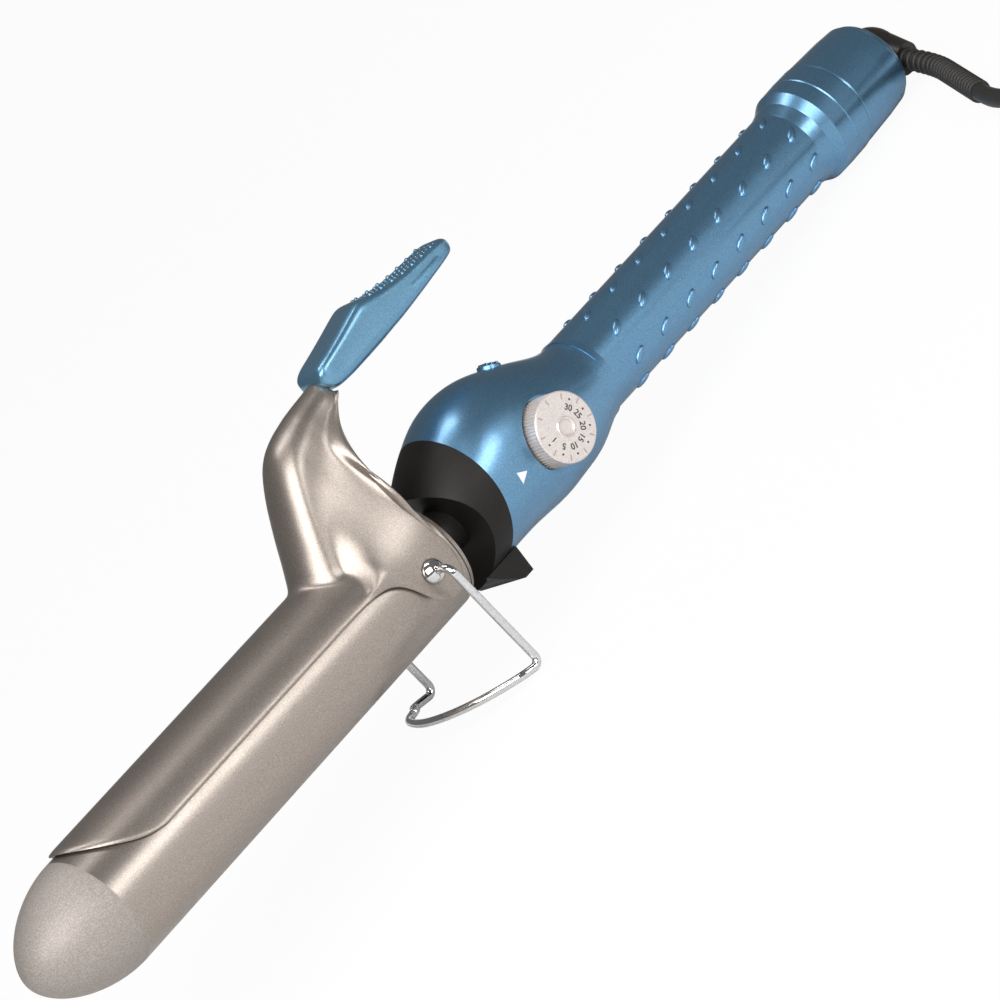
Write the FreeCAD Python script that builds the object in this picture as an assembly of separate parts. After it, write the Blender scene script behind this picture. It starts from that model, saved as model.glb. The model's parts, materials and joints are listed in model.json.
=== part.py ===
import FreeCAD, Part
import math
import os

# Curling iron. Built lying along X (tip at -X, handle at +X, clip on +Z, dial on -Y) with the
# mouth of the barrel at x = 0, then tipped about Y until the wire stand and the end cap
# stand on z = 0. Millimetres.

V = FreeCAD.Vector
X_AXIS = V(1, 0, 0)
Y_AXIS = V(0, 1, 0)
Z_AXIS = V(0, 0, 1)

# Barrel
BARREL_R = 16.0
BARREL_WALL = 1.0
TIP_SEAM_X = -131.0
NOSE_LENGTH = 24.7
FLANGE_R = 16.0
FLANGE_LENGTH = 3.0
FLANGE_SPIGOT = 10.0
FLANGE_SPIGOT_WALL = 2.2

# Clip and its pivot
PIVOT_X = -11.3
CLIP_GAP = 0.3
CLIP_OPEN = 24.0
SHEET = 1.0
CLIP_TIP_X = -129.6
CLIP_HALF_ANGLE = 68.7
CLIP_TONGUE = 20.0
LEVER_START_X = -46.0
LEVER_TOP = V(-16.5, 0, 49.0)
LEVER_TOP_HALF = 11.5
LEVER_FOOT = V(-2.0, 0, -10.0)
LEVER_FOOT_R = 12.0
LEVER_END = V(6.0, 0, 51.0)
EAR_Y = 17.8
EAR_DROP = 8.9
RIVET_R = 1.95
RIVET_HEAD_R = 3.4
RIVET_BORE_R = 1.16
TAB_X1 = 61.9
TAB_HALF_WIDTH = 6.6
TAB_SCREW_X = 22.0
TAB_SCREW_R = 1.2

# Tip and heater
TIP_SCREW_R = 1.5
TIP_PLUG_LENGTH = 7.0
SPREADER_X0 = -118.0
SPREADER_X1 = -30.0
HEATER_HALF = 1.3
SPREADER_WALL = 1.6
SPREADER_BASE = 2.0
SPREADER_RIB = 2.4
SENSOR_R = 1.5
SENSOR_Z = 7.0
NECK_BORE_R = 5.0
BOARD_X0 = 24.0

# Wire stand
WIRE_R = 1.1
STAND_HALF_WIDTH = 24.4
STAND_LEG = 33.9
STAND_LEAN = 5.1
STAND_BOW = 20.8
STAND_BOW_RISE = 9.3
STAND_BEND_R = 2.6

# Handle body: x, centre height, half height and half width of each section
BODY_SECTIONS = [
    (0.0, -2.8, 13.8, 13.6),
    (6.0, -1.0, 15.6, 15.4),
    (12.0, 1.0, 17.4, 17.0),
    (20.0, 3.1, 19.2, 18.2),
    (28.0, 4.2, 20.4, 18.6),
    (34.0, 4.0, 20.7, 18.5),
    (40.0, 3.2, 20.4, 18.2),
    (46.0, 2.1, 19.2, 17.4),
    (52.0, 0.9, 17.6, 16.2),
    (58.0, -0.3, 15.6, 14.6),
    (63.0, -0.7, 13.6, 13.2),
    (68.5, -0.4, 12.4, 12.3),
]
SHELL_WALL = 2.0
GRIP_SEAM_X = 68.5
GRIP_R = 12.1
GRIP_CORE_R = 10.0
GRIP_CORE_WALL = 1.6
COLLAR_X = 172.0
COLLAR_SEAM_X = 177.1
CAP_X = 184.1
END_X = 205.0
CAP_R = 14.3
END_R = 12.8
END_FILLET = 1.5
NECK_R = 6.5
SCOOP_R = 22.4
FIN_BOTTOM_Z = -21.4
FIN_HALF_WIDTH = 9.0

# Dial, boost button
DIAL_X = 41.6
DIAL_Z = 1.1
DIAL_R = 9.4
DIAL_BACK_Y = -15.2
DIAL_FACE_Y = -22.6
POCKET_FLOOR_Y = -14.8
STEM_R = 3.0
RUNNING_GAP = 0.05
BUTTON_X = 49.5
BUTTON_TILT = 30.0
BUTTON_R = 3.2
BUTTON_PROUD = 1.6
BUTTON_SURFACE_Z = 19.4
DIAL_CAP_R = 2.6
BODY_SCREWS = [(30.0, -11.0), (52.5, -7.0), (30.0, 13.0)]
BOARD_X1 = 56.0
BOARD_Y0 = -5.0
SWIVEL_CARRIER_X = 186.0

# Swivel and lead
DOME_X = 209.4
DOME_BALL_X = 206.8
DOME_R = 8.6
DOME_NECK_LENGTH = 10.5
DOME_NECK_R = 4.6
SWIVEL_STEM_R = 4.6
CORD_R = 2.5
RELIEF_START = 4.5
RELIEF_CORNER = 20.5
RELIEF_END_RUN = 44.0
RELIEF_BEND_SHARE = 0.6
RELIEF_ROOT_R = 3.1
RELIEF_TIP_R = 2.9
RELIEF_DIRECTION = V(-0.056, -0.90, -0.428)
RELIEF_LAY = V(-0.547, -0.835, -0.062)
LEAD_FIRST_RUN = 12.0
COIL_BASE_Z = 1.0
COIL_TURNS_ACROSS = 5
COIL_LAYERS = 2
COIL_MEAN_R = 30.0
COIL_HALF = COIL_TURNS_ACROSS * CORD_R
COIL_HEIGHT = COIL_LAYERS * 2 * CORD_R
COIL_X = 234.0
COIL_Y = -68.0
TIE_WIDTH = 12.0
TIE_ANGLE = 150.0
LEAD_ROUTE = [(143.5, -75.8, 2.9), (145.0, -86.6, 2.8), (150.2, -96.2, 2.7), (158.4, -103.4, 2.6),
              (168.6, -107.2, 2.6), (200.0, -108.6, 2.7), (229.5, -108.1, 3.4)]
TAIL_ROUTE = [(273.4, -74.9, 8.5), (274.3, -58.0, 7.9), (273.2, -41.0, 7.0), (267.5, -25.0, 7.3),
              (260.0, -10.0, 7.5)]
PLUG_LENGTH = 34.0
PLUG_WIDTH = 24.0
PLUG_HEIGHT = 15.0


def cyl(radius, start, end):
    """A cylinder from one point to another."""
    along = end.sub(start)
    return Part.makeCylinder(radius, along.Length, start, along)


def xtube(x0, x1, outer, inner):
    body = cyl(outer, V(x0, 0, 0), V(x1, 0, 0))
    if inner > 0:
        body = body.cut(cyl(inner, V(x0 - 1, 0, 0), V(x1 + 1, 0, 0)))
    return body


def box(x0, x1, y0, y1, z0, z1):
    return Part.makeBox(x1 - x0, y1 - y0, z1 - z0, V(x0, y0, z0))


def revolved(points):
    """A solid of revolution about the X axis from a list of (x, radius) points."""
    corners = [V(x, 0, r) for x, r in points]
    outline = Part.makePolygon(corners + corners[:1])
    return Part.Face(outline).revolve(V(0, 0, 0), X_AXIS, 360)


def plate_xz(points, y0, y1):
    """A plate with its outline in the XZ plane, from y0 to y1."""
    corners = [V(x, y0, z) for x, z in points]
    outline = Part.makePolygon(corners + corners[:1])
    return Part.Face(outline).extrude(V(0, y1 - y0, 0))


def egg_section(x, centre, half_height, half_width, inset=0.0):
    """A closed round section across the handle body."""
    count = 16
    points = []
    for i in range(count):
        angle = 2 * math.pi * i / count
        y = (half_width - inset) * math.cos(angle)
        z = centre + (half_height - inset) * math.sin(angle)
        points.append(V(x, y, z))
    curve = Part.BSplineCurve()
    curve.interpolate(Points=points, PeriodicFlag=True)
    return Part.Wire([curve.toShape()])


def body_form(inset=0.0):
    wires = [egg_section(x, c, h, w, inset) for x, c, h, w in BODY_SECTIONS]
    return Part.makeLoft(wires, True, False)


def swept(radius, edges):
    """A round wire swept along joined straight and arc edges."""
    path = Part.Wire(edges)
    start = path.Vertexes[0].Point
    first = path.Edges[0]
    heading = first.tangentAt(first.FirstParameter)
    ring = Part.Wire([Part.makeCircle(radius, start, heading)])
    return path.makePipeShell([ring], True, True)


def rounded_path(points, fraction=0.45):
    """Straight runs joined by tangent arcs, each as large as its two runs allow."""
    edges = []
    radii = []
    here = points[0]
    for i in range(1, len(points) - 1):
        back = points[i - 1].sub(points[i])
        ahead = points[i + 1].sub(points[i])
        cut = fraction * min(back.Length, ahead.Length)
        back.normalize()
        ahead.normalize()
        turn = math.pi - back.getAngle(ahead)
        radii.append(cut / math.tan(turn / 2))
        start = points[i].add(back * cut)
        end = points[i].add(ahead * cut)
        bisector = back.add(ahead)
        bisector.normalize()
        reach = radii[-1] / math.cos(turn / 2) - radii[-1]
        middle = points[i].add(bisector * reach)
        edges.append(Part.LineSegment(here, start).toShape())
        edges.append(Part.Arc(start, middle, end).toShape())
        here = end
    edges.append(Part.LineSegment(here, points[-1]).toShape())
    return edges, radii


nodes = {}


# ---- Barrel, tip and what is inside them -------------------------------------------------

def make_barrel():
    pivot_hole = cyl(RIVET_R, V(PIVOT_X, -30, 0), V(PIVOT_X, 30, 0))
    nodes["barrel"] = xtube(TIP_SEAM_X, -FLANGE_LENGTH, BARREL_R, BARREL_R - BARREL_WALL).cut(pivot_hole)
    nose = []
    steps = 10
    for i in range(steps + 1):
        angle = math.radians(90 * i / steps)
        along = math.sin(angle) ** 1.12
        out = math.cos(angle) ** 1.12 if i < steps else 0.0
        nose.append(V(TIP_SEAM_X - NOSE_LENGTH * along, 0, BARREL_R * out))
    crown = Part.BSplineCurve()
    crown.interpolate(nose)
    base = Part.LineSegment(nose[0], V(TIP_SEAM_X, 0, 0)).toShape()
    centre_line = Part.LineSegment(V(TIP_SEAM_X, 0, 0), nose[-1]).toShape()
    half = Part.Face(Part.Wire([crown.toShape(), base, centre_line]))
    cap = half.revolve(V(0, 0, 0), X_AXIS, 360)
    screw_hole = cyl(TIP_SCREW_R, V(TIP_SEAM_X - 8, 0, 0), V(TIP_SEAM_X, 0, 0))
    nodes["tip_cap"] = cap.cut(screw_hole)
    plug = xtube(TIP_SEAM_X, TIP_SEAM_X + TIP_PLUG_LENGTH, BARREL_R - BARREL_WALL, TIP_SCREW_R)
    nodes["tip_plug"] = plug
    screw_head_x = TIP_SEAM_X + TIP_PLUG_LENGTH
    shank = cyl(TIP_SCREW_R, V(TIP_SEAM_X - 7, 0, 0), V(screw_head_x, 0, 0))
    head = cyl(2 * TIP_SCREW_R, V(screw_head_x, 0, 0), V(screw_head_x + 1.6, 0, 0))
    nodes["tip_screw"] = shank.fuse(head)


def make_heater():
    bore_r = BARREL_R - BARREL_WALL - 0.2
    whole = xtube(SPREADER_X0, SPREADER_X1, bore_r, 0)
    x0 = SPREADER_X0 - 1
    x1 = SPREADER_X1 + 1
    hollow = xtube(x0, x1, bore_r - SPREADER_WALL, 0)
    inside = HEATER_HALF + SPREADER_BASE
    upper = whole.common(box(x0, x1, -BARREL_R, BARREL_R, HEATER_HALF, BARREL_R))
    upper = upper.cut(hollow.common(box(x0, x1, -BARREL_R, BARREL_R, inside, BARREL_R)))
    half = SPREADER_RIB / 2
    sensor_rib = box(SPREADER_X0, SPREADER_X1, -half, half, inside - 0.5, SENSOR_Z - SENSOR_R)
    lower = whole.common(box(x0, x1, -BARREL_R, BARREL_R, -BARREL_R, -HEATER_HALF))
    lower = lower.cut(hollow.common(box(x0, x1, -BARREL_R, BARREL_R, -BARREL_R, -inside)))
    nodes["heat_spreader_upper"] = upper.fuse(sensor_rib)
    nodes["heat_spreader_lower"] = lower
    nodes["heater_strip"] = box(SPREADER_X0 + 3, SPREADER_X1 - 2, -7.5, 7.5, -HEATER_HALF, HEATER_HALF)
    sensor_x = SPREADER_X0 + 40
    nodes["thermistor"] = cyl(SENSOR_R, V(sensor_x - 4, 0, SENSOR_Z), V(sensor_x + 4, 0, SENSOR_Z))
    nodes["thermal_fuse"] = cyl(1.8, V(-26, 0, 7.4), V(-16, 0, 7.4))
    rods = []
    for y in (-2.8, 2.8):
        start = V(SPREADER_X1 - 2, y, 0)
        rods.append(cyl(0.7, start, V(BOARD_X0 - 2, y, 0)))
    nodes["heater_leads"] = Part.makeCompound(rods)


def make_flange_and_neck():
    bore_r = BARREL_R - BARREL_WALL
    spigot_r = bore_r - FLANGE_SPIGOT_WALL
    spigot_x = -FLANGE_LENGTH - FLANGE_SPIGOT
    ring = revolved([(spigot_x, spigot_r), (spigot_x, bore_r), (-FLANGE_LENGTH, bore_r),
                     (-FLANGE_LENGTH, FLANGE_R), (-1.6, FLANGE_R), (-1.6, FLANGE_R - 0.5),
                     (-1.1, FLANGE_R - 0.5), (-1.1, FLANGE_R - 0.1), (0, FLANGE_R - 0.4), (0, NECK_R),
                     (-FLANGE_LENGTH, NECK_R), (-FLANGE_LENGTH, spigot_r)])
    pivot_hole = cyl(RIVET_R, V(PIVOT_X, -30, 0), V(PIVOT_X, 30, 0))
    nodes["barrel_flange"] = ring.cut(pivot_hole)
    nodes["neck_sleeve"] = xtube(-8, BOARD_X0 - 4, NECK_R, NECK_BORE_R)


# ---- Clip, lever, thumb tab ----------------------------------------------------------------

def channel_section(crown, foot, inset, half_top, half_bottom, shoulder):
    """A closed arch from a crown point down to a foot line: six edges, the arch being an arc."""
    down = foot.sub(crown)
    length = down.Length
    down.normalize()
    top = crown.add(down * inset)
    hip = crown.add(down * shoulder)
    knee = crown.add(down * (shoulder + (length - shoulder) * 0.55))
    side = V(0, 1, 0)
    wide = half_bottom - inset
    narrow = half_top - inset
    left = [foot.add(side * -wide), knee.add(side * -(wide * 0.98)), hip.add(side * -narrow)]
    right = [foot.add(side * wide), knee.add(side * (wide * 0.98)), hip.add(side * narrow)]
    edges = [Part.LineSegment(right[0], left[0]).toShape(),
             Part.LineSegment(left[0], left[1]).toShape(),
             Part.LineSegment(left[1], left[2]).toShape(),
             Part.Arc(left[2], top, right[2]).toShape(),
             Part.LineSegment(right[2], right[1]).toShape(),
             Part.LineSegment(right[1], right[0]).toShape()]
    return Part.Wire(edges)


def arch_section(x, radius):
    """The blade's own arch closed by its chord, in the same six edges."""
    def at(angle):
        turn = math.radians(angle)
        return V(x, radius * math.sin(turn), radius * math.cos(turn))
    stops = [-CLIP_HALF_ANGLE, -62.0, -52.0, 52.0, 62.0, CLIP_HALF_ANGLE]
    edges = [Part.LineSegment(at(stops[-1]), at(stops[0])).toShape()]
    for a, b in zip(stops, stops[1:]):
        edges.append(Part.Arc(at(a), at((a + b) / 2), at(b)).toShape())
    return Part.Wire(edges)


def lever_form(inset):
    outer_r = BARREL_R + CLIP_GAP + SHEET
    tip = arch_section(CLIP_TIP_X - inset, outer_r - inset)
    start = arch_section(LEVER_START_X, outer_r - inset)
    bend = channel_section(LEVER_TOP, LEVER_FOOT, inset, LEVER_TOP_HALF, EAR_Y, LEVER_FOOT_R)
    end = channel_section(LEVER_END, V(8.5, 0, 44.0), inset, 4.6, 6.4, 2.6)
    blade = Part.makeLoft([tip, start], True, True)
    first = Part.makeLoft([start, bend], True, True)
    second = Part.makeLoft([bend, end], True, True)
    return blade.fuse(first).fuse(second)


def make_clip():
    inner_r = BARREL_R + CLIP_GAP
    outer_r = inner_r + SHEET
    edge_z = outer_r * math.cos(math.radians(CLIP_HALF_ANGLE))
    chord = outer_r * math.sin(math.radians(CLIP_HALF_ANGLE))
    plate = lever_form(0.0).cut(lever_form(SHEET).fuse(box(-20, 8, -9, 9, -30, 12)))

    # The blade's free end is rounded.
    rim = []
    for i in range(13):
        angle = math.radians(-90 + 15 * i)
        rim.append(V(CLIP_TIP_X + CLIP_TONGUE * (1 - math.cos(angle)), (chord + 0.3) * math.sin(angle), -30))
    curve = Part.BSplineCurve()
    curve.interpolate(rim)
    back = [V(LEVER_START_X, chord + 0.3, -30), V(LEVER_START_X, 40, -30), V(20, 40, -30), V(20, -40, -30),
            V(LEVER_START_X, -40, -30), V(LEVER_START_X, -chord - 0.3, -30)]
    corners = [rim[-1]] + back + [rim[0]]
    sides = [Part.LineSegment(corners[i], corners[i + 1]).toShape() for i in range(len(corners) - 1)]
    plan = Part.Face(Part.Wire([curve.toShape()] + sides)).extrude(V(0, 0, 120))
    plate = plate.common(plan)

    # The edge runs back to the ear, and the ear hangs round the pivot.
    below = plate_xz([(LEVER_START_X + 1, edge_z), (-24, edge_z - 0.2), (-21, 3.6), (-19.5, 0), (-18, -3.4),
                      (-15.5, -7), (-12.6, -8.6), (-11.3, -EAR_DROP), (-8.5, -8.7), (-5.5, -7.2), (-3.4, -5),
                      (-2.3, -2), (-2.3, -20), (LEVER_START_X + 1, -20)], -40, 40)
    behind = plate_xz([(-2.3, -20), (-2.3, -2), (-5.7, 14), (-5.4, 24), (-3.6, 32), (-0.4, 38), (3, 41.6),
                       (8.2, 44.4), (8.2, 60), (60, 60), (60, -20)], -40, 40)
    plate = plate.cut(below).cut(behind)
    tongue = box(LEVER_END.x - 6, TAB_X1 - 12, -5.0, 5.0, 47.6, 48.6)
    plate = plate.fuse(tongue)
    for swing in (0.0, 8.0, 16.0, CLIP_OPEN):
        barrel_space = cyl(inner_r - 0.1, V(LEVER_START_X + 1, 0, 0), V(0.6, 0, 0))
        barrel_space.rotate(V(PIVOT_X, 0, 0), Y_AXIS, -swing)
        plate = plate.cut(barrel_space)
    plate = plate.cut(cyl(RIVET_R + RUNNING_GAP, V(PIVOT_X, -30, 0), V(PIVOT_X, 30, 0)))
    plate = plate.cut(cyl(TAB_SCREW_R, V(TAB_SCREW_X, 0, 40), V(TAB_SCREW_X, 0, 52)))
    nodes["clip_plate"] = plate


def make_thumb_tab():
    outline = [(8.4, 44.7), (24, 45.0), (38.4, 45.8), (57.2, 48.0), (60.4, 49.0), (61.9, 51.0), (61.2, 52.6),
               (58.5, 53.2), (52, 52.6), (44, 53.4), (37.3, 54.8), (29.2, 56.7), (26.8, 57.1), (24.8, 56.6),
               (14.3, 54.2), (6.6, 52.6), (5.0, 50.6), (8.4, 48.6)]
    tab = plate_xz(outline, -TAB_HALF_WIDTH, TAB_HALF_WIDTH)
    slot = box(0, TAB_X1 - 11.8, -5.1, 5.1, 47.5, 48.7)
    mouth = lever_form(-0.15)
    tab = tab.cut(slot).cut(mouth)
    tab = tab.cut(cyl(TAB_SCREW_R, V(TAB_SCREW_X, 0, 40), V(TAB_SCREW_X, 0, 53)))
    tab = tab.cut(cyl(2 * TAB_SCREW_R, V(TAB_SCREW_X, 0, 40), V(TAB_SCREW_X, 0, 46.2)))
    nodes["thumb_tab"] = tab
    shank = cyl(TAB_SCREW_R, V(TAB_SCREW_X, 0, 46.2), V(TAB_SCREW_X, 0, 52.5))
    head = cyl(1.9 * TAB_SCREW_R, V(TAB_SCREW_X, 0, 45.5), V(TAB_SCREW_X, 0, 46.2))
    nodes["tab_screw"] = shank.fuse(head)


def make_pivots():
    bore = RIVET_BORE_R
    rivets = []
    for side in (-1, 1):
        shank = cyl(RIVET_R, V(PIVOT_X, side * 12.6, 0), V(PIVOT_X, side * (EAR_Y + 0.1), 0))
        head = Part.makeSphere(RIVET_HEAD_R, V(PIVOT_X, side * (EAR_Y - 0.9), 0))
        outside = box(PIVOT_X - 5, PIVOT_X + 5, EAR_Y + 0.1, EAR_Y + 5, -5, 5)
        if side < 0:
            outside = box(PIVOT_X - 5, PIVOT_X + 5, -EAR_Y - 5, -EAR_Y - 0.1, -5, 5)
        rivet = shank.fuse(head.common(outside))
        rivets.append(rivet.cut(cyl(bore, V(PIVOT_X, side * 10, 0), V(PIVOT_X, side * 30, 0))))
    nodes["pivot_rivets"] = Part.makeCompound(rivets)


def make_clip_spring():
    strip = plate_xz([(-13.0, 16.45), (-24.0, 16.45), (-27.2, 18.0), (-27.9, 20.5), (-25.6, 26.0),
                      (-21.2, 31.5), (-20.5, 30.9), (-24.8, 25.6), (-27.0, 20.5), (-26.5, 18.6),
                      (-23.8, 17.15), (-13.0, 17.15)],
                     -3.5, 3.5)
    nodes["clip_spring"] = strip


# ---- Wire stand ---------------------------------------------------------------------------

def stand_points():
    """The stand's path: through one rivet, down a leg, round the bow, and back up."""
    lean = math.radians(STAND_LEAN)
    rise = math.radians(STAND_BOW_RISE)
    leg = V(math.sin(lean), 0, -math.cos(lean))
    bow = V(-math.cos(rise), 0, math.sin(rise))
    pivot = V(PIVOT_X, 0, 0)
    corner = pivot.add(leg * STAND_LEG)
    return pivot, leg, bow, corner


def make_stand():
    pivot, leg, bow, corner = stand_points()
    side = V(0, STAND_HALF_WIDTH, 0)
    diagonal = 1 - math.sqrt(0.5)
    edges = []
    r = STAND_BEND_R
    near_in = V(PIVOT_X, -13.4, 0)
    bend_a = pivot.sub(side).add(V(0, r, 0))
    bend_b = pivot.sub(side).add(leg * r)
    bend_m = pivot.sub(side).add(V(0, r * diagonal, 0)).add(leg * (r * diagonal))
    edges.append(Part.LineSegment(near_in, bend_a).toShape())
    edges.append(Part.Arc(bend_a, bend_m, bend_b).toShape())
    foot_bend = r
    foot_near = corner.sub(side)
    leg_end = foot_near.sub(leg * foot_bend)
    edges.append(Part.LineSegment(bend_b, leg_end).toShape())

    def bow_point(angle):
        y = STAND_HALF_WIDTH * math.cos(angle)
        return corner.add(V(0, -y, 0)).add(bow * (STAND_BOW * math.sin(angle)))

    start_angle = math.asin(foot_bend / STAND_BOW)
    bow_start = bow_point(start_angle)
    turn = foot_near.sub(leg * (foot_bend * diagonal)).add(bow * (foot_bend * diagonal))
    edges.append(Part.Arc(leg_end, turn, bow_start).toShape())
    half = 9
    arc_points = [bow_point(start_angle + (math.pi - 2 * start_angle) * i / half) for i in range(half + 1)]
    curve = Part.BSplineCurve()
    curve.interpolate(Points=arc_points, InitialTangent=bow, FinalTangent=bow * -1)
    edges.append(curve.toShape())

    def mirrored(p):
        return V(p.x, -p.y, p.z)

    edges.append(Part.Arc(mirrored(bow_start), mirrored(turn), mirrored(leg_end)).toShape())
    edges.append(Part.LineSegment(mirrored(leg_end), mirrored(bend_b)).toShape())
    edges.append(Part.Arc(mirrored(bend_b), mirrored(bend_m), mirrored(bend_a)).toShape())
    edges.append(Part.LineSegment(mirrored(bend_a), mirrored(near_in)).toShape())
    nodes["stand_wire"] = swept(WIRE_R, edges)


# ---- Handle ---------------------------------------------------------------------------------

def arc_prism(a, b, c, far_x):
    """The space on the +X side of an arc through three (x, z) points, all across Y."""
    def at(p):
        return V(p[0], -60, p[1])
    arc = Part.Arc(at(a), at(b), at(c)).toShape()
    corners = [at(c), at((far_x, c[1])), at((far_x, a[1])), at(a)]
    sides = [Part.LineSegment(corners[i], corners[i + 1]).toShape() for i in range(3)]
    return Part.Face(Part.Wire([arc] + sides)).extrude(V(0, 120, 0))


def make_handle():
    outer = body_form()
    inner = body_form(SHELL_WALL)
    blue_side = arc_prism((13.5, 40.0), (18.6, 10.0), (5.5, -34.0), 80.0)
    scoop = cyl(SCOOP_R, V(PIVOT_X - 0.9, -40, -2.0), V(PIVOT_X - 0.9, 40, -2.0))
    scoop_back = cyl(SCOOP_R + SHELL_WALL, V(PIVOT_X - 0.9, -40, -2.0), V(PIVOT_X - 0.9, 40, -2.0))

    shield_outer = outer.cut(blue_side).cut(scoop)
    fin = plate_xz([(4.5, -14.0), (7.5, -17.0), (10.5, -19.2), (11.8, -20.6), (13.4, FIN_BOTTOM_Z),
                    (16.6, FIN_BOTTOM_Z), (16.9, -14.0)], -FIN_HALF_WIDTH, FIN_HALF_WIDTH)
    fin = fin.cut(outer)
    shield = shield_outer.cut(inner.cut(scoop_back)).fuse(fin)
    shield = shield.cut(xtube(-5, 30, NECK_R, 0))
    nodes["heat_shield"] = shield

    shells = outer.common(blue_side).cut(inner)
    core = xtube(GRIP_SEAM_X - 4, CAP_X - 2, GRIP_CORE_R, GRIP_CORE_R - GRIP_CORE_WALL)
    shoulder = xtube(GRIP_SEAM_X - 3, GRIP_SEAM_X, 20, GRIP_CORE_R - GRIP_CORE_WALL).common(outer)
    shells = shells.fuse(core).fuse(shoulder)
    shells = shells.cut(xtube(GRIP_SEAM_X - 12, GRIP_SEAM_X + 8, GRIP_CORE_R - GRIP_CORE_WALL, 0))
    bulkhead = xtube(BOARD_X0 - 4, BOARD_X0 - 2, 40, NECK_BORE_R).common(inner)
    shells = shells.fuse(bulkhead)
    boss = cyl(DIAL_R + 2.4, V(DIAL_X, -30, DIAL_Z), V(DIAL_X, POCKET_FLOOR_Y + 2.0, DIAL_Z)).common(outer)
    pocket = cyl(DIAL_R + 0.5, V(DIAL_X, -40, DIAL_Z), V(DIAL_X, POCKET_FLOOR_Y, DIAL_Z))
    stem_hole = cyl(STEM_R + 0.3, V(DIAL_X, -20, DIAL_Z), V(DIAL_X, -8, DIAL_Z))
    button_from, button_to = button_axis(-6.0, 8.0)
    button_hole = cyl(BUTTON_R + RUNNING_GAP, button_from, button_to)
    shells = shells.fuse(boss).cut(pocket).cut(stem_hole).cut(button_hole)
    screws = []
    for x, z in BODY_SCREWS:
        post = cyl(2.8, V(x, -40, z), V(x, 40, z)).common(inner.fuse(core))
        shells = shells.fuse(post)
        shells = shells.cut(cyl(1.2, V(x, -5, z), V(x, 9, z)))
        shells = shells.cut(cyl(2.3, V(x, 5, z), V(x, 40, z)))
        screws.append(cyl(1.2, V(x, -5, z), V(x, 5, z)).fuse(cyl(2.2, V(x, 5, z), V(x, 6.6, z))))
    nodes["body_screws"] = Part.makeCompound(screws)
    near = box(-10, 260, -60, 0, -60, 60)
    far = box(-10, 260, 0, 60, -60, 60)
    nodes["body_shell_dial_side"] = shells.common(near)
    nodes["body_shell_back"] = shells.common(far)

    grip = revolved([(GRIP_SEAM_X, GRIP_CORE_R), (GRIP_SEAM_X, GRIP_R + 0.2), (GRIP_SEAM_X + 2, GRIP_R),
                     (COLLAR_X - 7, GRIP_R), (COLLAR_X - 3, GRIP_R + 0.8), (COLLAR_X, CAP_R + 0.2),
                     (COLLAR_SEAM_X, CAP_R + 0.3), (COLLAR_SEAM_X, GRIP_CORE_R)])
    nodes["grip_sleeve"] = grip
    nodes["collar_ring"] = revolved([(COLLAR_SEAM_X, GRIP_CORE_R), (COLLAR_SEAM_X, CAP_R),
                                     (COLLAR_SEAM_X + 0.5, CAP_R + 0.3), (CAP_X - 0.5, CAP_R + 0.2),
                                     (CAP_X, CAP_R - 0.1), (CAP_X, GRIP_CORE_R)])


def button_axis(inward, outward):
    """Two points on the boost button's axis, measured out from the top of the body."""
    tilt = math.radians(BUTTON_TILT)
    out = V(math.sin(tilt), 0, math.cos(tilt))
    surface = V(BUTTON_X, 0, BUTTON_SURFACE_Z)
    return surface.add(out * inward), surface.add(out * outward)


def make_button():
    low, top = button_axis(-4.0, BUTTON_PROUD)
    stem = cyl(BUTTON_R, low, top)
    flange_low, flange_top = button_axis(-5.0, -4.0)
    nodes["boost_button"] = stem.fuse(cyl(BUTTON_R + 1.0, flange_low, flange_top))
    switch_low, switch_top = button_axis(-9.6, -6.4)
    nodes["boost_switch"] = cyl(3.0, switch_low, switch_top)


def make_dial():
    knob = cyl(DIAL_R, V(DIAL_X, DIAL_BACK_Y, DIAL_Z), V(DIAL_X, DIAL_FACE_Y, DIAL_Z))
    edge_start = V(DIAL_X, DIAL_FACE_Y + 1.4, DIAL_Z)
    face_edge = Part.makeCone(DIAL_R + 0.3, DIAL_R - 0.4, 1.4, edge_start, V(0, -1, 0))
    lower = cyl(DIAL_R, V(DIAL_X, DIAL_BACK_Y, DIAL_Z), V(DIAL_X, DIAL_FACE_Y + 1.4, DIAL_Z))
    knob = knob.common(lower.fuse(face_edge))
    stem = cyl(STEM_R, V(DIAL_X, DIAL_BACK_Y, DIAL_Z), V(DIAL_X, -8.5, DIAL_Z))
    socket = cyl(DIAL_CAP_R, V(DIAL_X, DIAL_FACE_Y + 1.2, DIAL_Z), V(DIAL_X, DIAL_FACE_Y - 1, DIAL_Z))
    nodes["dial_knob"] = knob.fuse(stem).cut(socket)
    cap_front = V(DIAL_X, DIAL_FACE_Y - 0.3, DIAL_Z)
    nodes["dial_cap"] = cyl(DIAL_CAP_R, V(DIAL_X, DIAL_FACE_Y + 1.2, DIAL_Z), cap_front)
    pot = cyl(7.0, V(DIAL_X, POCKET_FLOOR_Y + 2.2, DIAL_Z), V(DIAL_X, BOARD_Y0, DIAL_Z))
    pot_bore = cyl(STEM_R + RUNNING_GAP, V(DIAL_X, -20, DIAL_Z), V(DIAL_X, BOARD_Y0 - 0.6, DIAL_Z))
    nodes["potentiometer"] = pot.cut(pot_bore)


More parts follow.
